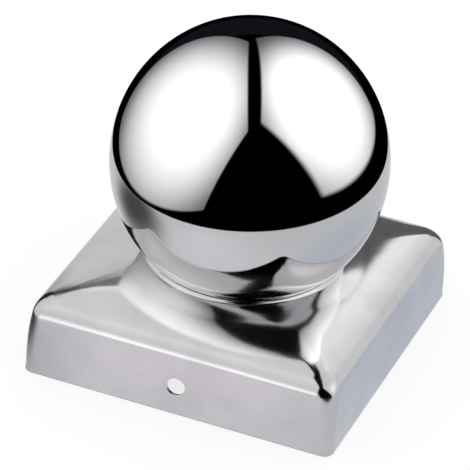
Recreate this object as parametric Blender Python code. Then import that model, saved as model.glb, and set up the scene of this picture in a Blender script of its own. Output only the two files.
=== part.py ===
"""Ball post cap: a pressed sheet cap for a square post, crowned by a hollow ball.

Metres, +Z up. The origin is the centre of the cap's open foot, on the plane that the foot stands
on. The screw holes are in the two faces that look along -Y and +Y.
"""

import math

import bmesh
import bpy
import numpy as np
from mathutils import Matrix

# Sheet and fit
SHEET = 0.0008
FIT_GAP = 0.0003

# Skirt, on its outer face
FOOT_WIDTH = 0.0944
SKIRT_HEIGHT = 0.0234
SKIRT_LEAN = math.radians(7.5)
SKIRT_CURVE = 3
FOOT_CORNER_RADIUS = 0.0036
SHOULDER_CORNER_RADIUS = 0.0046
ROOF_CORNER_RADIUS = 0.0050
BEND_RADIUS = 0.0055
LIP_REACH = 0.0004
LIP_HEIGHT = 0.0030

# Roof: four gently domed faces whose ridges grow softer inwards, drawn up to a round collar by a
# cove. The slope eases from the edge's to the inner one over the easing width. The growth is in
# metres of softness for each metre of the way in.
ROOF_EDGE_SLOPE = math.radians(26)
ROOF_INNER_SLOPE = math.radians(8)
ROOF_EASING_WIDTH = 0.0145
RIDGE_SOFTNESS = 0.0036
RIDGE_SOFTNESS_GROWTH = 0.41
COVE_WIDTH = 0.0074
COLLAR_RISE = 0.0049

# Ball, a little taller than wide, and the neck that is crimped under the roof
BALL_DIAMETER = 0.0796
BALL_STRETCH = 1.04
NECK_RADIUS = 0.0275
CRIMP_WIDTH = 0.0026

# Screw holes
SCREW_HOLE_DIAMETER = 0.0055
SCREW_HOLE_HEIGHT = 0.0092

# How finely the round stretches are cut
CORNER_STEPS = 8
HALF_SIDE_STEPS = 3
LIP_STEPS = 2
SKIRT_STEPS = 4
BEND_STEPS = 6
ROOF_STEPS = 10
BALL_SIDES = 48
OUTER_BALL_STEPS = 20
INNER_BALL_STEPS = 14
HOLE_SIDES = 24

# Sizes that follow from those above
HALF_FOOT = FOOT_WIDTH / 2
BEND_CENTRE_HEIGHT = SKIRT_HEIGHT - BEND_RADIUS
SHOULDER_HEIGHT = BEND_CENTRE_HEIGHT + BEND_RADIUS * math.sin(SKIRT_LEAN)
SKIRT_DRAFT = SHOULDER_HEIGHT * math.tan(SKIRT_LEAN) / SKIRT_CURVE
SHOULDER_HALF_WIDTH = HALF_FOOT - SKIRT_DRAFT
BEND_CENTRE_HALF_WIDTH = SHOULDER_HALF_WIDTH - BEND_RADIUS * math.cos(SKIRT_LEAN)
COLLAR_RADIUS = NECK_RADIUS + FIT_GAP
COLLAR_HEIGHT = SKIRT_HEIGHT + COLLAR_RISE
BALL_RADIUS = BALL_DIAMETER / 2
MERGE_DISTANCE = 0.000001
SMOOTH_ANGLE = math.radians(35)


def clear_scene():
    """Remove every object that the scene starts with."""
    for existing in list(bpy.data.objects):
        bpy.data.objects.remove(existing, do_unlink=True)


def make_steel(name, colour, roughness):
    """Return a metal of one colour and roughness."""
    material = bpy.data.materials.new(name)
    material.use_nodes = True
    shader = material.node_tree.nodes["Principled BSDF"]
    shader.inputs["Base Color"].default_value = (*colour, 1.0)
    shader.inputs["Metallic"].default_value = 1.0
    shader.inputs["Roughness"].default_value = roughness
    return material


def add_piece(name, shape, material):
    """Turn a bmesh into a named object, shaded smooth across its shallow edges."""
    bmesh.ops.recalc_face_normals(shape, faces=shape.faces)
    mesh = bpy.data.meshes.new(name)
    shape.to_mesh(mesh)
    shape.free()
    mesh.shade_smooth()
    mesh.set_sharp_from_angle(angle=SMOOTH_ANGLE)
    if material is not None:
        mesh.materials.append(material)
    piece = bpy.data.objects.new(name, mesh)
    bpy.context.scene.collection.objects.link(piece)
    return piece


def rounded_square(half_width, corner_radius):
    """Points of a square with round corners, anticlockwise from the middle of the +X side."""
    flat = half_width - corner_radius
    quarter = [(half_width, flat * step / HALF_SIDE_STEPS) for step in range(HALF_SIDE_STEPS)]
    for step in range(CORNER_STEPS + 1):
        angle = math.pi / 2 * step / CORNER_STEPS
        quarter.append((flat + corner_radius * math.cos(angle), flat + corner_radius * math.sin(angle)))
    for step in range(1, HALF_SIDE_STEPS):
        quarter.append((flat * (1 - step / HALF_SIDE_STEPS), half_width))
    left_turn = np.array([[0.0, 1.0], [-1.0, 0.0]])
    return np.concatenate([quarter @ np.linalg.matrix_power(left_turn, turn) for turn in range(4)])


def circle(radius, count):
    """Points of a circle, anticlockwise from the +X axis."""
    angles = np.arange(count) * 2 * math.pi / count
    return radius * np.column_stack([np.cos(angles), np.sin(angles)])


def roof_start():
    """Half width and height of the line where the bend runs out into the roof faces."""
    half_width = BEND_CENTRE_HALF_WIDTH + BEND_RADIUS * math.sin(ROOF_EDGE_SLOPE)
    height = BEND_CENTRE_HEIGHT + BEND_RADIUS * math.cos(ROOF_EDGE_SLOPE)
    return half_width, height


def roof_height(points):
    """Height of the roof's outer face over points of the plan.

    Each face's slope eases evenly from the edge inwards. The faces meet in ridges that are
    rounded more and more towards the collar. Inside the cove's outer edge the height is drawn
    towards the collar's height, by the square of the way gone.
    """
    start_half_width, start_height = roof_start()
    size = np.abs(points)
    farthest = size.max(axis=1)
    way_in = np.maximum(0.0, start_half_width - farthest)
    softness = RIDGE_SOFTNESS + RIDGE_SOFTNESS_GROWTH * way_in
    near_ridge = np.maximum(0.0, softness - np.abs(size[:, 0] - size[:, 1]))
    distance = farthest + near_ridge ** 2 / (4 * softness)
    run = start_half_width - distance
    eased = np.where(
        run < ROOF_EASING_WIDTH,
        run ** 2 / (2 * ROOF_EASING_WIDTH),
        run - ROOF_EASING_WIDTH / 2,
    )
    fall_off = math.tan(ROOF_EDGE_SLOPE) - math.tan(ROOF_INNER_SLOPE)
    faces = start_height + math.tan(ROOF_EDGE_SLOPE) * run - fall_off * eased
    from_collar = np.hypot(points[:, 0], points[:, 1]) - COLLAR_RADIUS
    cove = np.clip(1 - from_collar / COVE_WIDTH, 0.0, 1.0) ** 2
    return faces + cove * (COLLAR_HEIGHT - faces)


def roof_underside(points):
    """Height of the roof's inner face, one sheet below the outer one square to its slope."""
    small = 0.01
    drop = roof_height(points * (1 - small)) - roof_height(points * (1 + small))
    slope = drop / (2 * small * np.hypot(points[:, 0], points[:, 1]))
    return roof_height(points) - SHEET * np.sqrt(1 + slope ** 2)


def lay_ring(points, height):
    """Lift a plan outline to a height, which is one number or one for each point."""
    return np.column_stack([points, np.broadcast_to(height, len(points))])


def skirt_rings(inset):
    """Rings of the skirt below its shoulder, on the face that lies inset from the outer one.

    The wall stands upright at the foot and leans in by a power of its height. Near the foot the
    corners throw out a small lip.
    """
    heights = [LIP_HEIGHT * step / LIP_STEPS for step in range(LIP_STEPS)]
    rise = SHOULDER_HEIGHT - LIP_HEIGHT
    heights += [LIP_HEIGHT + rise * step / SKIRT_STEPS for step in range(SKIRT_STEPS)]
    rings = []
    for height in heights:
        share = (height / SHOULDER_HEIGHT) ** SKIRT_CURVE
        half_width = HALF_FOOT - SKIRT_DRAFT * share
        corner = FOOT_CORNER_RADIUS + (SHOULDER_CORNER_RADIUS - FOOT_CORNER_RADIUS) * share
        points = rounded_square(half_width - inset, corner - inset)
        on_corner = np.clip((np.abs(points).min(axis=1) + corner - half_width) / corner, 0.0, 1.0)
        reach = LIP_REACH * max(0.0, 1 - height / LIP_HEIGHT) ** 2
        outward = points / np.hypot(points[:, 0], points[:, 1])[:, None]
        rings.append(lay_ring(points + outward * (reach * on_corner)[:, None], height))
    return rings


def bend_rings(inset):
    """Rings round the bend, from the shoulder of the skirt to the edge of the roof."""
    radius = BEND_RADIUS - inset
    rings = []
    for step in range(BEND_STEPS + 1):
        share = step / BEND_STEPS
        angle = SKIRT_LEAN + (math.pi / 2 - ROOF_EDGE_SLOPE - SKIRT_LEAN) * share
        corner = SHOULDER_CORNER_RADIUS + (ROOF_CORNER_RADIUS - SHOULDER_CORNER_RADIUS) * share
        half_width = BEND_CENTRE_HALF_WIDTH + radius * math.cos(angle)
        points = rounded_square(half_width, corner - inset * math.cos(angle))
        rings.append(lay_ring(points, BEND_CENTRE_HEIGHT + radius * math.sin(angle)))
    return rings


def roof_rings(height_at):
    """Rings of the roof from just inside the bend to the collar, at the heights of one face."""
    edge = rounded_square(roof_start()[0], ROOF_CORNER_RADIUS)
    collar = circle(COLLAR_RADIUS, len(edge))
    rings = []
    for step in range(1, ROOF_STEPS + 1):
        points = edge + (collar - edge) * step / ROOF_STEPS
        rings.append(lay_ring(points, height_at(points)))
    return rings


def join_rings(rings):
    """Skin a list of rings in turn, the last one back to the first, as one closed shell."""
    shape = bmesh.new()
    loops = [[shape.verts.new(point) for point in ring] for ring in rings]
    for lower, upper in zip(loops, loops[1:] + loops[:1]):
        for index, corner in enumerate(lower):
            before = index - 1
            shape.faces.new((lower[before], corner, upper[index], upper[before]))
    return shape


def make_hole_cutter():
    """A round bar along Y that opens the screw holes in the front and the back of the skirt."""
    shape = bmesh.new()
    along_y = Matrix.Rotation(math.pi / 2, 4, "X")
    place = Matrix.Translation((0, 0, SCREW_HOLE_HEIGHT)) @ along_y
    bmesh.ops.create_cone(
        shape,
        cap_ends=True,
        segments=HOLE_SIDES,
        radius1=SCREW_HOLE_DIAMETER / 2,
        radius2=SCREW_HOLE_DIAMETER / 2,
        depth=FOOT_WIDTH * 1.1,
        matrix=place,
    )
    cutter = add_piece("screw_hole_cutter", shape, None)
    cutter.hide_render = True
    cutter.display_type = "WIRE"
    return cutter


def make_cap():
    """The pressed cap: skirt, bend and roof of one sheet, open below and at the collar."""
    outer = skirt_rings(0.0) + bend_rings(0.0) + roof_rings(roof_height)
    inner = skirt_rings(SHEET) + bend_rings(SHEET) + roof_rings(roof_underside)
    satin = make_steel("satin_steel", (0.72, 0.72, 0.73), 0.22)
    cap = add_piece("cap", join_rings(outer + inner[::-1]), satin)
    holes = cap.modifiers.new("screw_holes", "BOOLEAN")
    holes.operation = "DIFFERENCE"
    holes.solver = "EXACT"
    holes.object = make_hole_cutter()
    return cap


def ball_arc(radius, half_height, centre_height, neck_radius, steps):
    """Points of a stretched ball's outline from its top down to where it meets the neck."""
    last = math.pi - math.asin(neck_radius / radius)
    angles = np.linspace(0.0, last, steps + 1)
    return [(radius * math.sin(a), centre_height + half_height * math.cos(a)) for a in angles]


def ball_centre_height():
    """Height of the ball's centre, with its skin a fit gap above the collar's rim."""
    half_height = BALL_RADIUS * BALL_STRETCH
    down_to_collar = half_height * math.sqrt(1 - (COLLAR_RADIUS / BALL_RADIUS) ** 2)
    return COLLAR_HEIGHT + FIT_GAP + down_to_collar


def ball_profile():
    """Outline of the ball's wall: outer skin, neck, crimp under the roof, and inner skin."""
    half_height = BALL_RADIUS * BALL_STRETCH
    centre = ball_centre_height()
    crimp_radius = NECK_RADIUS + CRIMP_WIDTH
    neck_end, crimp_end = roof_underside(np.array([[COLLAR_RADIUS, 0.0], [crimp_radius, 0.0]])) - FIT_GAP
    bore = NECK_RADIUS - SHEET
    profile = ball_arc(BALL_RADIUS, half_height, centre, NECK_RADIUS, OUTER_BALL_STEPS)
    profile += [(NECK_RADIUS, neck_end), (crimp_radius, crimp_end)]
    profile += [(crimp_radius, crimp_end - SHEET), (bore, neck_end - SHEET)]
    profile += ball_arc(BALL_RADIUS - SHEET, half_height - SHEET, centre, bore, INNER_BALL_STEPS)[::-1]
    return profile


def make_ball():
    """The hollow ball, turned from its profile, open below through its neck."""
    shape = bmesh.new()
    points = [shape.verts.new((radius, 0.0, height)) for radius, height in ball_profile()]
    edges = [shape.edges.new(pair) for pair in zip(points, points[1:])]
    bmesh.ops.spin(
        shape,
        geom=points + edges,
        cent=(0, 0, 0),
        axis=(0, 0, 1),
        angle=2 * math.pi,
        steps=BALL_SIDES,
        use_merge=True,
    )
    bmesh.ops.remove_doubles(shape, verts=shape.verts, dist=MERGE_DISTANCE)
    mirror_steel = make_steel("mirror_steel", (0.80, 0.80, 0.81), 0.05)
    return add_piece("ball", shape, mirror_steel)


def main():
    """Build the two pieces of the post cap."""
    clear_scene()
    make_cap()
    make_ball()


main()
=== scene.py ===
"""Ball post cap in a plain studio: a satin pressed cap crowned by a hollow mirror ball."""

import logging
import math
from dataclasses import dataclass
from enum import Enum

import bpy
import numpy as np
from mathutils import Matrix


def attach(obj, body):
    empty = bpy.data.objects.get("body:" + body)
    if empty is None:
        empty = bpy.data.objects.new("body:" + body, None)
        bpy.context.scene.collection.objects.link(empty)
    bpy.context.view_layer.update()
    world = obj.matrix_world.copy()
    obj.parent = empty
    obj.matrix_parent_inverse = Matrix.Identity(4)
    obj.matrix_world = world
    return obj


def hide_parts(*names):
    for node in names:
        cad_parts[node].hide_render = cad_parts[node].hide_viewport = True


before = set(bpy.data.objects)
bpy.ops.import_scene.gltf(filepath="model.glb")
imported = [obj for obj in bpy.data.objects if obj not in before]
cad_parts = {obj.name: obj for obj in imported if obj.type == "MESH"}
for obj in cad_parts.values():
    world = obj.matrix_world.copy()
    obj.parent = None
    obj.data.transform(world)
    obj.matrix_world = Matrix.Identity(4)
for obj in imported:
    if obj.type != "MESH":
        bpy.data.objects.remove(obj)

LOG = logging.getLogger("ball_post_cap")
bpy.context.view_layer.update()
MILLIMETRES = 1000.0
SMOOTH_ANGLE = math.radians(35)


class Slot(Enum):
    """The record's material slots, one for each piece."""

    CAP = "cap"
    BALL = "ball"


class Seen(Enum):
    """Which rays see a thing of the studio."""

    DIRECTLY = "camera"
    IN_METAL = "glossy"


# Shader writing


class Socket:
    """A shader value that grows Math nodes as Python's operators are used on it."""

    def __init__(self, shader: "Shader", link: bpy.types.NodeSocket) -> None:
        """Wrap an output.

        Args:
            shader: The material that the output belongs to.
            link: The output socket.
        """
        self.shader = shader
        self.link = link

    def _math(self, operation: str, *values: "Socket | float") -> "Socket":
        """Return a Math node's result.

        Args:
            operation: The Math node's operation.
            values: Its inputs in order.

        Returns:
            The wrapped result.
        """
        inputs = dict(enumerate(values))
        return self.shader.node("ShaderNodeMath", {"operation": operation}, inputs)

    def __add__(self, other: "Socket | float") -> "Socket":
        """Return self + other."""
        return self._math("ADD", self, other)

    def __radd__(self, other: float) -> "Socket":
        """Return other + self."""
        return self._math("ADD", other, self)

    def __sub__(self, other: "Socket | float") -> "Socket":
        """Return self - other."""
        return self._math("SUBTRACT", self, other)

    def __rsub__(self, other: float) -> "Socket":
        """Return other - self."""
        return self._math("SUBTRACT", other, self)

    def __mul__(self, other: "Socket | float") -> "Socket":
        """Return self * other."""
        return self._math("MULTIPLY", self, other)

    def __rmul__(self, other: float) -> "Socket":
        """Return other * self."""
        return self._math("MULTIPLY", other, self)

    def __truediv__(self, other: "Socket | float") -> "Socket":
        """Return self / other."""
        return self._math("DIVIDE", self, other)

    def __pow__(self, other: "Socket | float") -> "Socket":
        """Return self to the power of other."""
        return self._math("POWER", self, other)

    def __rpow__(self, other: float) -> "Socket":
        """Return other to the power of self."""
        return self._math("POWER", other, self)

    def __neg__(self) -> "Socket":
        """Return -self."""
        return self._math("MULTIPLY", self, -1.0)

    def __abs__(self) -> "Socket":
        """Return the value without its sign."""
        return self._math("ABSOLUTE", self)

    def between(self, low: float, high: float) -> "Socket":
        """Return a smooth step of self.

        Args:
            low: Value at or below which the step is 0.
            high: Value at or above which the step is 1.

        Returns:
            The step, from 0 to 1.
        """
        settings = {"interpolation_type": "SMOOTHSTEP"}
        return self.shader.node("ShaderNodeMapRange", settings, {0: self, 1: low, 2: high})


class Shader:
    """One material's nodes, all added through one method."""

    def __init__(self, name: str) -> None:
        """Start an empty material.

        Args:
            name: The material's name.
        """
        self.material = bpy.data.materials.new(name)
        self.material.use_nodes = True
        self.tree = self.material.node_tree
        self.tree.nodes.clear()

    def node(
        self,
        kind: str,
        settings: dict | None = None,
        inputs: dict | None = None,
        output: int = 0,
    ) -> Socket | None:
        """Add a node, its settings before its inputs.

        Args:
            kind: The node's type.
            settings: Properties of the node.
            inputs: A value or a Socket for each input, by name or place.
            output: Which of the outputs to return.

        Returns:
            The wrapped output, or None from a node that has none.
        """
        made = self.tree.nodes.new(kind)
        for key, value in (settings or {}).items():
            setattr(made, key, value)
        for key, value in (inputs or {}).items():
            if isinstance(value, Socket):
                self.tree.links.new(value.link, made.inputs[key])
            else:
                made.inputs[key].default_value = value
        return Socket(self, made.outputs[output]) if made.outputs else None

    def place(self, stretch: tuple[float, float, float]) -> Socket:
        """Return Object coordinates in millimetres, each axis times its stretch.

        Args:
            stretch: Factor for X, Y and Z.

        Returns:
            The vector.
        """
        # Output 3 of Texture Coordinate is Object.
        here = self.node("ShaderNodeTexCoord", output=3)
        factor = tuple(MILLIMETRES * each for each in stretch)
        return self.node("ShaderNodeVectorMath", {"operation": "MULTIPLY"}, {0: here, 1: factor})

    def noise(self, where: Socket, size: float, detail: float) -> Socket:
        """Return a cloudy value about 0.5.

        Args:
            where: The coordinates, in millimetres.
            size: Size of the clouds, in millimetres.
            detail: How many finer layers are added.

        Returns:
            The value, from 0 to 1.
        """
        inputs = {"Vector": where, "Scale": 1 / size, "Detail": detail}
        return self.node("ShaderNodeTexNoise", None, inputs)

    def blend(self, share: Socket, first: "tuple | Socket", second: "tuple | Socket") -> Socket:
        """Return a colour between two.

        Args:
            share: 0 for the first colour, 1 for the second.
            first: The first colour.
            second: The second colour.

        Returns:
            The colour.
        """
        ends = [one if isinstance(one, Socket) else (*one, 1.0) for one in (first, second)]
        # Inputs 6 and 7 and output 2 are the Mix node's colours.
        inputs = {0: share, 6: ends[0], 7: ends[1]}
        return self.node("ShaderNodeMix", {"data_type": "RGBA"}, inputs, output=2)

    def finish(self, surface: Socket) -> bpy.types.Material:
        """Send a shader to the material's output and return the material."""
        self.node("ShaderNodeOutputMaterial", None, {"Surface": surface})
        return self.material


@dataclass(frozen=True)
class SteelFinish:
    """Polished stainless steel. Lengths are in millimetres.

    The fields with a value of their own are the same for both finishes.
    """

    name: str
    colour: tuple[float, float, float]
    tarnish: tuple[float, float, float]
    roughness: float
    haze: float
    grain: float
    grain_size: tuple[float, float, float]
    wave: float
    wave_size: float
    scratch: float
    cloud_size: float = 14.0
    tarnish_from: tuple[float, float] = (0.3, 0.75)
    grain_relief: float = 0.004
    scratch_runs: tuple[tuple[float, float, float], ...] = ((0.9, 0.10, 0.16), (0.08, 0.75, 0.22))
    scratch_spacing: float = 1.6
    scratch_width: float = 0.006
    break_size: float = 5.0
    break_from: tuple[float, float] = (0.58, 0.66)

    def material(self) -> bpy.types.Material:
        """Return the finish as a material.

        Roughness is the base plus cloudy haze plus the polishing grain. The surface waves softly,
        as pressed sheet does, and carries the grain and a few hair scratches.

        Returns:
            The material.
        """
        shader = Shader(self.name)
        here = shader.place((1.0, 1.0, 1.0))
        cloud = shader.noise(here, self.cloud_size, detail=4.0)
        along = shader.place(tuple(1 / size for size in self.grain_size))
        grain = shader.noise(along, 1.0, detail=5.0)
        roughness = self.roughness + self.haze * (cloud - 0.5) + self.grain * (grain - 0.5)
        waves = shader.noise(here, self.wave_size, detail=1.0)
        height = self.wave * waves + self.grain_relief * self.grain * grain
        height = height - self.scratch * self._scratches(shader)
        lift = {"Strength": 1.0, "Distance": 1 / MILLIMETRES, "Height": height}
        normal = shader.node("ShaderNodeBump", None, lift)
        tint = shader.blend(cloud.between(*self.tarnish_from), self.colour, self.tarnish)
        inputs = {"Base Color": tint, "Metallic": 1.0, "Roughness": roughness, "Normal": normal}
        return shader.finish(shader.node("ShaderNodeBsdfPrincipled", None, inputs))

    def _scratches(self, shader: Shader) -> Socket:
        """Return thin broken lines in two directions: the middle value of stretched noise.

        Args:
            shader: The material to add to.

        Returns:
            1 in a scratch and 0 elsewhere.
        """
        lines = None
        for stretch in self.scratch_runs:
            where = shader.place(stretch)
            off = abs(shader.noise(where, self.scratch_spacing, detail=0.0) - 0.5)
            line = 1 - off.between(0.0, self.scratch_width)
            broken = shader.noise(where, self.break_size, detail=1.0).between(*self.break_from)
            lines = line * broken if lines is None else lines + line * broken
        return lines


SATIN = SteelFinish(
    name="satin_steel",
    colour=(0.685, 0.670, 0.680),
    tarnish=(0.615, 0.600, 0.617),
    roughness=0.12,
    haze=0.09,
    grain=0.07,
    grain_size=(14.0, 14.0, 0.22),
    wave=0.030,
    wave_size=11.0,
    scratch=0.0004,
)
MIRROR = SteelFinish(
    name="mirror_steel",
    colour=(0.66, 0.66, 0.665),
    tarnish=(0.64, 0.64, 0.645),
    roughness=0.035,
    haze=0.02,
    grain=0.01,
    grain_size=(9.0, 9.0, 0.5),
    wave=0.0012,
    wave_size=9.0,
    scratch=0.0002,
)


# Surfaces


def skin(rings: np.ndarray) -> tuple[np.ndarray, np.ndarray]:
    """Skin rings of points into a closed tube, the last ring back to the first.

    Quad (i, j) joins points j - 1 and j of ring i to those of ring i + 1.

    Args:
        rings: Points, of shape (rings, points, 3).

    Returns:
        The points as rows, and the quads.
    """
    count, around = rings.shape[:2]
    index = np.arange(count * around).reshape(count, around)
    above = np.roll(index, -1, axis=0)
    quads = np.stack([np.roll(index, 1, 1), index, above, np.roll(above, 1, 1)], axis=-1)
    return rings.reshape(-1, 3), quads.reshape(-1, 4)


def turn(profile: np.ndarray, sides: int) -> tuple[np.ndarray, list]:
    """Turn a profile about Z. Its first and last points are on the axis.

    Point (i, j) is (r_i cos a_j, r_i sin a_j, z_i) with a_j = 2 pi j / sides, and a fan of
    triangles closes each pole.

    Args:
        profile: Rows of radius and height, which go round the wall with the solid on their right.
        sides: Number of points round the axis.

    Returns:
        The points and the faces.
    """
    angle = np.arange(sides) * 2 * math.pi / sides
    radius, height = profile[1:-1].T
    ring = np.stack([np.cos(angle), np.sin(angle), np.ones(sides)], axis=-1)
    points = np.stack([radius, radius, height], axis=-1)[:, None, :] * ring[None]
    points = np.concatenate([points.reshape(-1, 3), [[0, 0, profile[0, 1]], [0, 0, profile[-1, 1]]]])
    index = np.arange(len(radius) * sides).reshape(-1, sides)
    after = np.roll(index, -1, axis=1)
    quads = np.stack([index[:-1], index[1:], after[1:], after[:-1]], axis=-1).reshape(-1, 4)
    first = np.full(sides, len(points) - 2)
    last = first + 1
    top = np.stack([first, index[0], after[0]], axis=-1)
    end = np.stack([last, after[-1], index[-1]], axis=-1)
    return points, quads.tolist() + top.tolist() + end.tolist()


def add_piece(name: str, points: np.ndarray, faces: list | np.ndarray) -> bpy.types.Object:
    """Put a mesh into the scene, smooth across its shallow edges, with its place in its points.

    Args:
        name: The object's name.
        points: Rows of X, Y and Z in metres.
        faces: Rows of point numbers.

    Returns:
        The object.
    """
    mesh = bpy.data.meshes.new(name)
    mesh.from_pydata(points.tolist(), [], faces if isinstance(faces, list) else faces.tolist())
    mesh.shade_smooth()
    mesh.set_sharp_from_angle(angle=SMOOTH_ANGLE)
    piece = bpy.data.objects.new(name, mesh)
    bpy.context.scene.collection.objects.link(piece)
    return piece


def dress(piece: bpy.types.Object, finish: SteelFinish, slot: Slot) -> None:
    """Give a piece its finish, and let it stand for the CAD node of the same name as its slot.

    Args:
        piece: The new piece.
        finish: Its steel.
        slot: The record's slot.
    """
    piece.data.materials.clear()
    piece.data.materials.append(finish.material())
    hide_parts(slot.value)
    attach(piece, "root")


# The cap


@dataclass
class PressedCap:
    """The pressed sheet cap: skirt, bend, hipped roof, cove and collar. Sizes are in metres."""

    sheet: float = 0.0008
    half_foot: float = 0.0472
    skirt_height: float = 0.0234
    lean: float = math.radians(7.5)
    lean_power: int = 3
    foot_corner: float = 0.0036
    shoulder_corner: float = 0.0046
    roof_corner: float = 0.0050
    bend_radius: float = 0.0055
    lip_reach: float = 0.0004
    lip_height: float = 0.0030
    edge_slope: float = math.radians(26)
    inner_slope: float = math.radians(8)
    easing_width: float = 0.0145
    ridge_softness: float = 0.0036
    ridge_growth: float = 0.41
    cove_width: float = 0.0074
    collar_rise: float = 0.0049
    collar_radius: float = 0.0278
    bead_height: float = 0.00062
    bead_width: float = 0.00040
    bead_place: float = 0.00044
    edge_round: float = 0.00022
    hole_radius: float = 0.00275
    hole_height: float = 0.0092
    hole_flare: float = 0.0006
    hole_land: float = 0.0002
    cutter_overrun: float = 0.004
    hole_sides: int = 72
    corner_steps: int = 18
    side_steps: int = 20
    side_easing: float = 0.12
    edge_steps: int = 5
    lip_steps: int = 7
    skirt_steps: int = 17
    bend_steps: int = 16
    inner_bend_steps: int = 12
    roof_steps: int = 63
    roof_crowding: float = 1.8
    roof_last_ring: float = 0.06
    underside_steps: int = 35

    @property
    def collar_height(self) -> float:
        """Height of the collar's rim."""
        return self.skirt_height + self.collar_rise

    @property
    def bend_centre(self) -> float:
        """Height of the centre of the bend."""
        return self.skirt_height - self.bend_radius

    @property
    def shoulder(self) -> float:
        """Height at which the skirt runs into the bend."""
        return self.bend_centre + self.bend_radius * math.sin(self.lean)

    @property
    def draft(self) -> float:
        """How far the skirt leans in by the time it reaches the bend."""
        return self.shoulder * math.tan(self.lean) / self.lean_power

    @property
    def bend_half_width(self) -> float:
        """Half width of the square on which the bend's centre runs."""
        return self.half_foot - self.draft - self.bend_radius * math.cos(self.lean)

    def outline(self, half_width: np.ndarray, corner: np.ndarray) -> np.ndarray:
        """Return squares with round corners, anticlockwise from the middle of the +X side.

        With f = half width - corner radius, a side's points are (f + r, f t), a corner's are
        (f + r cos a, f + r sin a), and each quarter is turned on by 90 degrees. Along a side,
        t = s + easing * sin(pi s), which crowds the points a little towards the corner.

        Args:
            half_width: Half width of each square.
            corner: Corner radius of each square.

        Returns:
            Points, of shape (squares, points, 2).
        """
        side = np.arange(self.side_steps) / self.side_steps
        side = side + self.side_easing * np.sin(math.pi * side)
        angle = np.arange(self.corner_steps + 1) * math.pi / 2 / self.corner_steps
        one, none = np.ones_like(side), np.zeros_like(side)
        corner_one = np.ones_like(angle)
        back = side[:0:-1]
        flat = np.concatenate([
            np.column_stack([one, side]),
            np.column_stack([corner_one, corner_one]),
            np.column_stack([back, one[1:]]),
        ])
        bow = np.concatenate([
            np.column_stack([one, none]),
            np.column_stack([np.cos(angle), np.sin(angle)]),
            np.column_stack([none[1:], one[1:]]),
        ])
        left_turn = np.array([[0.0, 1.0], [-1.0, 0.0]])
        turns = [np.linalg.matrix_power(left_turn, quarter) for quarter in range(4)]
        flat = np.concatenate([flat @ each for each in turns])
        bow = np.concatenate([bow @ each for each in turns])
        half_width, corner = np.broadcast_arrays(half_width, corner)
        return (half_width - corner)[:, None, None] * flat + corner[:, None, None] * bow

    def wall(self, inset: np.ndarray, height: np.ndarray) -> np.ndarray:
        """Return rings of the skirt.

        At height z the half width is w0 - draft (z / shoulder)^3, and the corners throw out a lip
        of reach (1 - z / lip height)^2 near the foot.

        Args:
            inset: Distance of each ring inside the outer face.
            height: Height of each ring.

        Returns:
            Points, of shape (rings, points, 3).
        """
        share = (height / self.shoulder) ** self.lean_power
        half_width = self.half_foot - self.draft * share
        corner = self.foot_corner + (self.shoulder_corner - self.foot_corner) * share
        plan = self.outline(half_width - inset, corner - inset)
        nearest = np.abs(plan).min(axis=2) - (half_width - corner)[:, None]
        on_corner = np.clip(nearest / corner[:, None], 0.0, 1.0)
        reach = self.lip_reach * np.clip(1 - height / self.lip_height, 0.0, 1.0) ** 2
        outward = plan / np.hypot(plan[..., 0], plan[..., 1])[..., None]
        plan = plan + outward * (reach[:, None] * on_corner)[..., None]
        return np.dstack([plan, np.broadcast_to(height[:, None], plan.shape[:2])])

    def bend(self, inset: float, steps: int) -> np.ndarray:
        """Return rings round the bend: half width c + r cos a, height c + r sin a.

        Args:
            inset: Distance inside the outer face.
            steps: Number of steps round the bend.

        Returns:
            Points, of shape (rings, points, 3).
        """
        share = np.linspace(0.0, 1.0, steps + 1)
        angle = self.lean + (math.pi / 2 - self.edge_slope - self.lean) * share
        corner = self.shoulder_corner + (self.roof_corner - self.shoulder_corner) * share
        radius = self.bend_radius - inset
        plan = self.outline(self.bend_half_width + radius * np.cos(angle), corner - inset * np.cos(angle))
        height = self.bend_centre + radius * np.sin(angle)
        return np.dstack([plan, np.broadcast_to(height[:, None], plan.shape[:2])])

    def roof_height(self, plan: np.ndarray) -> np.ndarray:
        """Return the height of the roof's outer face.

        Four faces climb with the run, which is measured by the greater of |x| and |y|. Their slope
        eases evenly over a width, so the height goes by run - run^2 / (2 width), and their ridges
        are rounded more and more towards the collar. In the cove the height is drawn to the
        collar's by the square of the way gone, and round the collar runs a small bead,
        height * exp(-((distance from the collar - place) / width)^2) high.

        Args:
            plan: Points of the plan, the last axis X and Y.

        Returns:
            The heights.
        """
        size = np.abs(plan)
        farthest = size.max(axis=-1)
        start = self.bend_half_width + self.bend_radius * math.sin(self.edge_slope)
        softness = self.ridge_softness + self.ridge_growth * np.maximum(0.0, start - farthest)
        near_ridge = np.maximum(0.0, softness - np.abs(size[..., 0] - size[..., 1]))
        distance = farthest + near_ridge**2 / (4 * softness)
        top_of_bend = self.bend_centre + self.bend_radius * math.cos(self.edge_slope)
        run, width = start - distance, self.easing_width
        eased = np.where(run < width, run**2 / (2 * width), run - width / 2)
        steep, gentle = math.tan(self.edge_slope), math.tan(self.inner_slope)
        faces = top_of_bend + steep * run - (steep - gentle) * eased
        from_collar = np.hypot(plan[..., 0], plan[..., 1]) - self.collar_radius
        cove = np.clip(1 - from_collar / self.cove_width, 0.0, 1.0) ** 2
        bead = np.exp(-(((from_collar - self.bead_place) / self.bead_width) ** 2))
        return faces + cove * (self.collar_height - faces) + self.bead_height * bead

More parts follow.
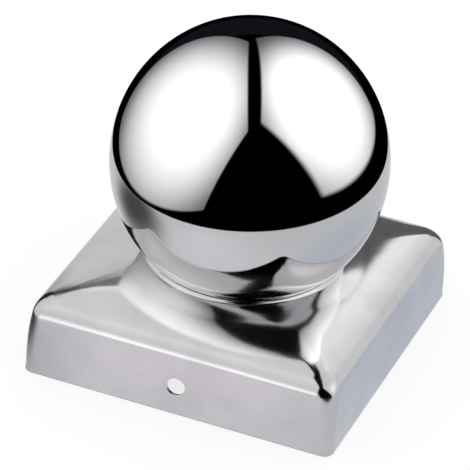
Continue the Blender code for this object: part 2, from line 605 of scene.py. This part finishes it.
    def roof_underside(self, plan: np.ndarray) -> np.ndarray:
        """Return the height of the roof's inner face: outer height - sheet * sqrt(1 + slope^2).

        The slope is the outer face's, between points a hundredth nearer to the middle and farther.

        Args:
            plan: Points of the plan, the last axis X and Y.

        Returns:
            The heights.
        """
        small = 0.01
        drop = self.roof_height(plan * (1 - small)) - self.roof_height(plan * (1 + small))
        slope = drop / (2 * small * np.hypot(plan[..., 0], plan[..., 1]))
        return self.roof_height(plan) - self.sheet * np.sqrt(1 + slope**2)

    def roof_plan(self, share: np.ndarray) -> np.ndarray:
        """Return plan rings between the roof's edge and the collar: edge + (collar - edge) s.

        Args:
            share: The way gone to the collar, for each ring.

        Returns:
            Points, of shape (rings, points, 2).
        """
        start = np.array([self.bend_half_width + self.bend_radius * math.sin(self.edge_slope)])
        edge = self.outline(start, np.array([self.roof_corner]))
        return edge + (self.collar(np.zeros(1)) - edge) * share[:, None, None]

    def collar(self, outside: np.ndarray) -> np.ndarray:
        """Return plan circles round the collar: ((c + d) cos a, (c + d) sin a).

        Args:
            outside: Distance d of each circle outside the collar's bore, whose radius is c.

        Returns:
            Points, of shape (circles, points, 2).
        """
        count = 4 * (2 * self.side_steps + self.corner_steps)
        angle = np.arange(count) * 2 * math.pi / count
        unit = np.column_stack([np.cos(angle), np.sin(angle)])
        return (self.collar_radius + outside)[:, None, None] * unit

    def rings(self) -> np.ndarray:
        """Return every ring of the sheet: up its outer face, over the collar, down its inner one.

        Both cut edges are rounded: tuck r (1 - sin a) and rise r (1 - cos a) for a quarter turn.
        The roof's rings crowd towards the collar: the way still to go is s^crowding, while s falls
        evenly from 1 to the last ring's.

        Returns:
            Points, of shape (rings, points, 3).
        """
        quarter = np.linspace(0.0, math.pi / 2, self.edge_steps + 1)
        tuck = self.edge_round * (1 - np.sin(quarter))
        rise = self.edge_round * (1 - np.cos(quarter))
        lip = np.linspace(self.edge_round, self.lip_height, self.lip_steps + 1)[1:]
        side = np.linspace(self.lip_height, self.shoulder, self.skirt_steps + 1)[1:-1]
        heights = np.concatenate([rise, lip, side])
        outer_inset = np.concatenate([tuck, np.zeros(len(lip) + len(side))])
        outer = self.wall(outer_inset, heights)
        inner = self.wall(self.sheet - outer_inset, heights)
        to_go = np.linspace(1.0, self.roof_last_ring, self.roof_steps + 1)[1:]
        plan = self.roof_plan(1 - to_go**self.roof_crowding)
        rim = self.collar(tuck)
        under = self.roof_plan(np.linspace(0.0, 1.0, self.underside_steps + 1)[1:])
        roof = np.dstack([plan, self.roof_height(plan)])
        collar = np.dstack([rim, self.roof_height(rim) - rise[:, None]])
        underside = np.dstack([under, self.roof_underside(under)])
        inner_bend = self.bend(self.sheet, self.inner_bend_steps)
        inner_wall = np.concatenate([inner, inner_bend, underside])[::-1]
        return np.concatenate([outer, self.bend(0.0, self.bend_steps), roof, collar, inner_wall])

    def hole_cutter(self) -> bpy.types.Object:
        """Make a bar along Y, flared where it leaves the skirt so that each hole is deburred.

        Returns:
            The bar, which is removed once it has cut the holes.
        """
        end, flared = self.half_foot + self.cutter_overrun, self.hole_radius + self.hole_flare
        land = self.half_foot - self.hole_land
        half = [(0.0, end), (flared, end), (flared, land + self.hole_flare), (self.hole_radius, land)]
        profile = half + [(radius, -along) for radius, along in half[::-1]]
        points, faces = turn(np.array(profile), self.hole_sides)
        x, y, z = points.T
        points = np.column_stack([x, z, self.hole_height - y])
        return add_piece("screw_hole_cutter", points, faces)

    def build(self) -> bpy.types.Object:
        """Make the cap and cut its two screw holes.

        Returns:
            The cap.
        """
        cap = add_piece("pressed_cap", *skin(self.rings()))
        cutter = self.hole_cutter()
        holes = cap.modifiers.new("screw_holes", "BOOLEAN")
        holes.operation = "DIFFERENCE"
        holes.solver = "EXACT"
        holes.object = cutter
        cut = cap.evaluated_get(bpy.context.evaluated_depsgraph_get())
        mesh = bpy.data.meshes.new_from_object(cut)
        cap.modifiers.clear()
        cap.data = mesh
        bpy.data.objects.remove(cutter, do_unlink=True)
        mesh.shade_smooth()
        mesh.set_sharp_from_angle(angle=SMOOTH_ANGLE)
        dress(cap, SATIN, Slot.CAP)
        return cap


# The ball


@dataclass
class CrownBall:
    """The hollow ball, a little taller than wide, and its neck crimped under the roof."""

    cap: PressedCap
    radius: float = 0.0398
    stretch: float = 1.04
    neck_radius: float = 0.0275
    crimp_width: float = 0.0026
    gap: float = 0.0003
    sides: int = 240
    outer_steps: int = 170
    inner_steps: int = 70

    @property
    def half_height(self) -> float:
        """Half of the ball's height."""
        return self.radius * self.stretch

    @property
    def centre(self) -> float:
        """Height of the ball's centre, with its skin a gap above the collar's rim."""
        down = self.half_height * math.sqrt(1 - (self.cap.collar_radius / self.radius) ** 2)
        return self.cap.collar_height + self.gap + down

    def arc(self, inset: float, neck: float, steps: int) -> np.ndarray:
        """Return the ball's outline from its top to its neck: (r sin a, c + h cos a).

        Args:
            inset: Distance inside the outer skin.
            neck: Radius at which the outline ends.
            steps: Number of steps.

        Returns:
            Rows of radius and height.
        """
        radius, half = self.radius - inset, self.half_height - inset
        angle = np.linspace(0.0, math.pi - math.asin(neck / radius), steps + 1)
        return np.column_stack([radius * np.sin(angle), self.centre + half * np.cos(angle)])

    def build(self) -> bpy.types.Object:
        """Turn the ball from its profile: outer skin, neck, crimp, bore and inner skin.

        Returns:
            The ball.
        """
        sheet = self.cap.sheet
        crimp = self.neck_radius + self.crimp_width
        plan = np.array([[self.cap.collar_radius, 0.0], [crimp, 0.0]])
        neck_end, crimp_end = self.cap.roof_underside(plan) - self.gap
        bore = self.neck_radius - sheet
        turned = [
            (self.neck_radius, neck_end),
            (crimp, crimp_end),
            (crimp, crimp_end - sheet),
            (bore, neck_end - sheet),
        ]
        outer = self.arc(0.0, self.neck_radius, self.outer_steps)
        inner = self.arc(sheet, bore, self.inner_steps)[::-1]
        outer[0, 0] = inner[-1, 0] = 0.0
        ball = add_piece("crown_ball", *turn(np.concatenate([outer, turned, inner]), self.sides))
        dress(ball, MIRROR, Slot.BALL)
        return ball


# The studio


@dataclass(frozen=True)
class SoftBox:
    """A sheer lit panel, which hides nothing behind it and lights one piece alone.

    Its bearing, lift and distance start on the object's axis at the studio's aim height and lead
    to a point of its plane, from which across and up are measured in metres. Its light is
    base + peak * exp(-((across - a0) / sa)^2 - ((up - u0) / su)^2), faded at its edges.
    """

    name: str
    bearing: float
    lift: float
    distance: float
    foot: tuple[float, float]
    head: tuple[float, float]
    low: float
    high: tuple[float, float]
    peak: float = 0.0
    hot_spot: tuple[float, float] = (0.0, 0.0)
    spread: tuple[float, float] = (1.0, 1.0)
    base: float = 0.0
    fade: float = 0.05

    def cloth(self) -> bpy.types.Material:
        """Make the panel's light, from its place in metres and as a share of width and height.

        Returns:
            The material.
        """
        shader = Shader(self.name)
        place = shader.node("ShaderNodeUVMap", {"uv_map": "metres"})
        across = shader.node("ShaderNodeSeparateXYZ", None, {0: place}, output=0)
        up = shader.node("ShaderNodeSeparateXYZ", None, {0: place}, output=1)
        share = shader.node("ShaderNodeUVMap", {"uv_map": "share"})
        wide = shader.node("ShaderNodeSeparateXYZ", None, {0: share}, output=0)
        tall = shader.node("ShaderNodeSeparateXYZ", None, {0: share}, output=1)
        off = ((across - self.hot_spot[0]) / self.spread[0]) ** 2.0
        off = off + ((up - self.hot_spot[1]) / self.spread[1]) ** 2.0
        width = self.foot[1] - self.foot[0]
        height = self.high[0] - self.low
        sides = (0.5 - abs(wide - 0.5)).between(0.0, self.fade / width)
        ends = (0.5 - abs(tall - 0.5)).between(0.0, self.fade / height)
        light = (self.base + self.peak * math.e ** (-off)) * sides * ends
        colour = shader.node("ShaderNodeCombineXYZ", None, {0: light, 1: light, 2: light})
        glow = shader.node("ShaderNodeEmission", None, {"Color": colour})
        clear = shader.node("ShaderNodeBsdfTransparent")
        return shader.finish(shader.node("ShaderNodeAddShader", None, {0: glow, 1: clear}))

    def build(self, studio: "Studio", piece: bpy.types.Object) -> bpy.types.Object:
        """Hang the panel.

        Args:
            studio: The studio, whose camera gives the bearing's zero.
            piece: The piece that it lights.

        Returns:
            The panel.
        """
        facing = studio.direction(self.bearing, self.lift)
        across_axis = np.cross([0.0, 0.0, 1.0], facing)
        across_axis /= np.linalg.norm(across_axis)
        up_axis = np.cross(facing, across_axis)
        plane = np.array([
            (self.foot[0], self.low),
            (self.foot[1], self.low),
            (self.head[1], self.high[1]),
            (self.head[0], self.high[0]),
        ])
        middle = np.array([0.0, 0.0, studio.aim_height]) + facing * self.distance
        points = middle + plane[:, :1] * across_axis + plane[:, 1:] * up_axis
        panel = add_piece(self.name, points, [[0, 1, 2, 3]])
        square = np.array([(0, 0), (1, 0), (1, 1), (0, 1)], float)
        for name, values in (("metres", plane), ("share", square)):
            panel.data.uv_layers.new(name=name).data.foreach_set("uv", values.ravel())
        panel.data.materials.append(self.cloth())
        studio.show_only(panel, Seen.IN_METAL)
        lit = bpy.data.collections.new("lit_by_" + self.name)
        lit.objects.link(piece)
        panel.light_linking.receiver_collection = lit
        return panel


@dataclass
class Studio:
    """Camera, pale floor, pale surroundings, slate backdrop, round table, soft boxes and scrims.

    Angles are in degrees. The lens, its sensor and the mottle are in millimetres, and all other
    lengths are in metres.
    """

    azimuth: float = 20.341
    elevation: float = 32.798
    roll: float = 3.993
    away: float = 1.1625785
    shift: tuple[float, float] = (-0.00081656, 0.02758368)
    lens: float = 306.38298
    sensor_width: float = 36.0
    clip: tuple[float, float] = (0.05, 50.0)
    aim_height: float = 0.05822
    floor_reach: float = 4.0
    floor_grey: float = 0.20
    floor_mottle: float = 0.015
    floor_glow: float = 0.79
    mottle_size: float = 30.0
    surroundings: float = 1.16
    table_radius: float = 0.147
    table_offset: float = 0.017
    table_lift: float = 0.0002
    table_sides: int = 96
    left: SoftBox = SoftBox(
        "left_soft_box", -88.0, 25.0, 0.45,
        foot=(-0.89, 0.96), head=(-0.92, 0.76), low=-0.60, high=(0.81, 0.77),
        peak=1.86, hot_spot=(0.111, 0.158), spread=(0.586, 0.629), base=0.138,
    )
    right: SoftBox = SoftBox(
        "right_soft_box", 92.0, 30.0, 0.45,
        foot=(-0.41, 0.60), head=(-0.54, 1.10), low=-0.39, high=(0.63, 0.79),
        peak=2.34, hot_spot=(0.021, 0.144), spread=(0.489, 0.506), base=0.131,
    )
    left_scrim: SoftBox = SoftBox(
        "left_scrim", -88.0, 25.0, 0.47,
        foot=(-0.44, 0.96), head=(-0.60, 0.76), low=-0.60, high=(0.80, 0.70),
        peak=0.20, hot_spot=(0.06, 0.24), spread=(0.31, 0.27), base=0.85,
    )
    right_scrim: SoftBox = SoftBox(
        "right_scrim", 92.0, 30.0, 0.47,
        foot=(-0.41, 0.56), head=(-0.54, 0.55), low=-0.54, high=(0.50, 0.58),
        peak=0.38, hot_spot=(0.42, 0.25), spread=(0.24, 0.19), base=0.80,
    )
    near_scrim: SoftBox = SoftBox(
        "near_right_scrim", 92.0, 30.0, 0.48,
        foot=(-0.42, 0.20), head=(-0.42, 0.20), low=-0.40, high=(0.30, 0.30),
        peak=0.50, hot_spot=(-0.14, -0.04), spread=(0.18, 0.18),
    )
    rear_scrim: SoftBox = SoftBox(
        "rear_left_scrim", -164.0, 18.0, 0.45,
        foot=(-0.12, 0.12), head=(-0.12, 0.12), low=-0.38, high=(0.16, 0.16), base=0.76,
    )
    hip_scrim: SoftBox = SoftBox(
        "left_hip_scrim", -168.0, 45.0, 0.45,
        foot=(-0.13, 0.13), head=(-0.13, 0.13), low=-0.12, high=(0.14, 0.14), base=0.22,
    )
    slate_scrim: SoftBox = SoftBox(
        "rear_slate_scrim", 160.0, 16.0, 0.45,
        foot=(-0.17, 0.17), head=(-0.17, 0.17), low=-0.34, high=(0.18, 0.18), base=0.13,
    )
    low_strip: SoftBox = SoftBox(
        "low_strip", -37.0, -23.0, 0.12,
        foot=(-0.065, 0.080), head=(-0.065, 0.080), low=-0.0122, high=(0.045, 0.045),
        peak=0.66, spread=(1.0, 0.017), fade=0.006,
    )
    table_colour: tuple[float, float, float] = (0.695, 0.70, 0.72)
    shade_middle: tuple[float, float] = (-0.097, -0.038)
    shade_reach: float = 0.048
    shade_depth: float = 0.88
    # Painted pool of light on the table that the steel mirrors, brighter before the cap.
    painted_light_pool_middle: tuple[float, float] = (-0.010, -0.085)
    painted_light_pool_reach: float = 0.060
    painted_light_pool_colour: tuple[float, float, float] = (0.86, 0.84, 0.875)
    painted_light_pool_mottle: float = 0.12
    # Painted cool shade on the table that the steel mirrors: a slate-blue darkening to the cap's right.
    painted_cool_shade_middle: tuple[float, float] = (0.060, 0.015)
    painted_cool_shade_reach: float = 0.055
    painted_cool_shade_colour: tuple[float, float, float] = (0.590, 0.640, 0.715)
    backdrop_radius: float = 1.1
    backdrop_height: float = 0.8
    backdrop_span: tuple[float, float] = (105.0, 255.0)
    backdrop_steps: int = 30
    backdrop_colour: tuple[float, float, float] = (0.008, 0.008, 0.013)

    def direction(self, bearing: float, lift: float) -> np.ndarray:
        """Return a unit vector.

        Args:
            bearing: Degrees round from the camera's side, positive to the camera's right.
            lift: Degrees above the level.

        Returns:
            (cos lift cos bearing, cos lift sin bearing, sin lift) on the axes towards the
            camera, to its right and up.
        """
        azimuth = math.radians(self.azimuth)
        towards = np.array([math.sin(azimuth), -math.cos(azimuth), 0.0])
        right = np.array([math.cos(azimuth), math.sin(azimuth), 0.0])
        turned, raised = math.radians(bearing), math.radians(lift)
        level = math.cos(turned) * towards + math.sin(turned) * right
        return math.cos(raised) * level + math.sin(raised) * np.array([0.0, 0.0, 1.0])

    def show_only(self, thing: bpy.types.Object, seen: Seen) -> None:
        """Let a thing of the studio be seen by one kind of ray.

        Args:
            thing: The floor, table, backdrop or panel.
            seen: The rays that see it.
        """
        thing.visible_camera = seen is Seen.DIRECTLY
        thing.visible_diffuse = seen is Seen.DIRECTLY
        thing.visible_shadow = seen is Seen.DIRECTLY
        thing.visible_glossy = seen is Seen.IN_METAL
        thing.visible_transmission = False

    def floor_paint(self) -> bpy.types.Material:
        """Return matt pale paint with a faint mottle, which glows like a light table.

        Returns:
            The material.
        """
        shader = Shader("floor_paint")
        mottle = shader.noise(shader.place((1.0, 1.0, 1.0)), self.mottle_size, detail=3.0)
        darker = self.floor_grey * (1 - self.floor_mottle)
        paint = shader.blend(mottle, (self.floor_grey,) * 3, (darker,) * 3)
        inputs = {"Base Color": paint, "Roughness": 1.0, "Specular IOR Level": 0.0}
        inputs |= {"Emission Color": (*(self.floor_glow,) * 3, 1.0), "Emission Strength": 1.0}
        return shader.finish(shader.node("ShaderNodeBsdfPrincipled", None, inputs))

    def table_light(self) -> bpy.types.Material:
        """Return the table as the steel sees it.

        It has a painted pool of light before the cap, a painted shade to its left and a painted
        slate-blue shade to its right. The pool is exp(-(distance / reach)^2), and the two shades are
        exp(-(distance / reach)^4), each about a point on the table.

        Returns:
            The material.
        """
        shader = Shader("table_light")
        here = shader.place((1.0, 1.0, 1.0))
        spots = []
        for middle, reach, power in (
            (self.painted_light_pool_middle, self.painted_light_pool_reach, 2.0),
            (self.shade_middle, self.shade_reach, 4.0),
            (self.painted_cool_shade_middle, self.painted_cool_shade_reach, 4.0),
        ):
            ends = {0: here, 1: (MILLIMETRES * middle[0], MILLIMETRES * middle[1], 0.0)}
            off = shader.node("ShaderNodeVectorMath", {"operation": "DISTANCE"}, ends, output=1)
            spots.append(math.e ** (-((off / (MILLIMETRES * reach)) ** power)))
        # The three spots are painted light and shade: a pool of light, a shade and a slate-blue shade.
        painted_pool, shade, slate = spots
        mottle = shader.noise(here, self.mottle_size, detail=3.0)
        # The painted pool of light, its brightness faintly mottled.
        painted_pool = painted_pool * (1 - self.painted_light_pool_mottle / 2 + self.painted_light_pool_mottle * mottle)
        # The third spot is painted shade, which draws the table's light towards a darker slate blue.
        light = shader.blend(slate, self.table_colour, self.painted_cool_shade_colour)
        light = shader.blend(painted_pool, light, self.painted_light_pool_colour)
        light = shader.blend(self.shade_depth * shade, light, (0.0, 0.0, 0.0))
        return shader.finish(shader.node("ShaderNodeEmission", None, {"Color": light}))

    def build_floor(self) -> None:
        """Lay the wide pale floor, and the round table top that the steel reflects."""
        corners = self.floor_reach * np.array([(-1, -1, 0), (1, -1, 0), (1, 1, 0), (-1, 1, 0)])
        floor = add_piece("floor", corners, [[0, 1, 2, 3]])
        floor.data.materials.append(self.floor_paint())
        self.show_only(floor, Seen.DIRECTLY)
        sides = self.table_sides
        angle = np.arange(sides) * 2 * math.pi / sides
        middle = self.direction(90.0, 0.0) * self.table_offset + [0.0, 0.0, self.table_lift]
        ring = np.column_stack([np.cos(angle), np.sin(angle), np.zeros(sides)])
        table = add_piece("table_top", ring * self.table_radius + middle, [list(range(sides))])
        table.data.materials.append(self.table_light())
        self.show_only(table, Seen.IN_METAL)

    def build_backdrop(self) -> None:
        """Stand a dim slate cloth in a half circle behind the table, for the steel to mirror."""
        steps = self.backdrop_steps
        bearing = np.linspace(*self.backdrop_span, steps + 1)
        foot = np.array([self.direction(each, 0.0) for each in bearing]) * self.backdrop_radius
        points = np.concatenate([foot, foot + [0.0, 0.0, self.backdrop_height]])
        index = np.arange(steps)
        above = index + steps + 1
        faces = np.column_stack([index, above, above + 1, index + 1])
        backdrop = add_piece("slate_backdrop", points, faces)
        shader = Shader("slate_cloth")
        slate = {"Color": (*self.backdrop_colour, 1.0)}
        backdrop.data.materials.append(shader.finish(shader.node("ShaderNodeEmission", None, slate)))
        self.show_only(backdrop, Seen.IN_METAL)

    def hang_lights(self, cap: bpy.types.Object, ball: bpy.types.Object) -> None:
        """Hang the soft boxes for the ball, and dimmer scrims for the cap.

        Args:
            cap: The pressed cap.
            ball: The ball.
        """
        for box in (self.left, self.right):
            box.build(self, ball)
        high = (self.left_scrim, self.right_scrim, self.near_scrim, self.hip_scrim)
        low = (self.rear_scrim, self.slate_scrim, self.low_strip)
        for scrim in high + low:
            scrim.build(self, cap)

    def build_surroundings(self) -> None:
        """Surround the floor with even pale light that the steel doesn't mirror."""
        world = bpy.data.worlds.new("pale_surroundings")
        world.use_nodes = True
        background = world.node_tree.nodes["Background"]
        background.inputs["Color"].default_value = (1.0, 1.0, 1.0, 1.0)
        background.inputs["Strength"].default_value = self.surroundings
        world.cycles_visibility.glossy = False
        bpy.context.scene.world = world

    def build_camera(self) -> None:
        """Place the camera: back along its view, aside by its shift, turned by its roll."""
        azimuth, elevation, roll = map(math.radians, (self.azimuth, self.elevation, self.roll))
        ahead = -self.direction(0.0, self.elevation)
        level = np.array([math.cos(azimuth), math.sin(azimuth), 0.0])
        upright = np.cross(level, ahead)
        right = math.cos(roll) * level + math.sin(roll) * upright
        up = -math.sin(roll) * level + math.cos(roll) * upright
        place = -ahead * self.away + right * self.shift[0] + up * self.shift[1]
        data = bpy.data.cameras.new("studio_camera")
        data.lens = self.lens
        data.sensor_width = self.sensor_width
        data.clip_start, data.clip_end = self.clip
        camera = bpy.data.objects.new("studio_camera", data)
        matrix = np.eye(4)
        matrix[:3, :4] = np.column_stack([right, up, -ahead, place])
        camera.matrix_world = matrix.T.tolist()
        bpy.context.scene.collection.objects.link(camera)
        bpy.context.scene.camera = camera

    def build(self) -> None:
        """Set up the whole studio."""
        self.build_camera()
        self.build_floor()
        self.build_surroundings()
        self.build_backdrop()
        bpy.context.scene.view_settings.view_transform = "Standard"


def main() -> None:
    """Build the studio, the cap and the ball in order."""
    logging.basicConfig(level=logging.INFO)
    studio = Studio()
    studio.build()
    sizes = PressedCap()
    cap = sizes.build()
    ball = CrownBall(sizes).build()
    for piece in (cap, ball):
        LOG.info("%s: %d faces", piece.name, len(piece.data.polygons))
    studio.hang_lights(cap, ball)


if __name__ == "__main__":
    main()
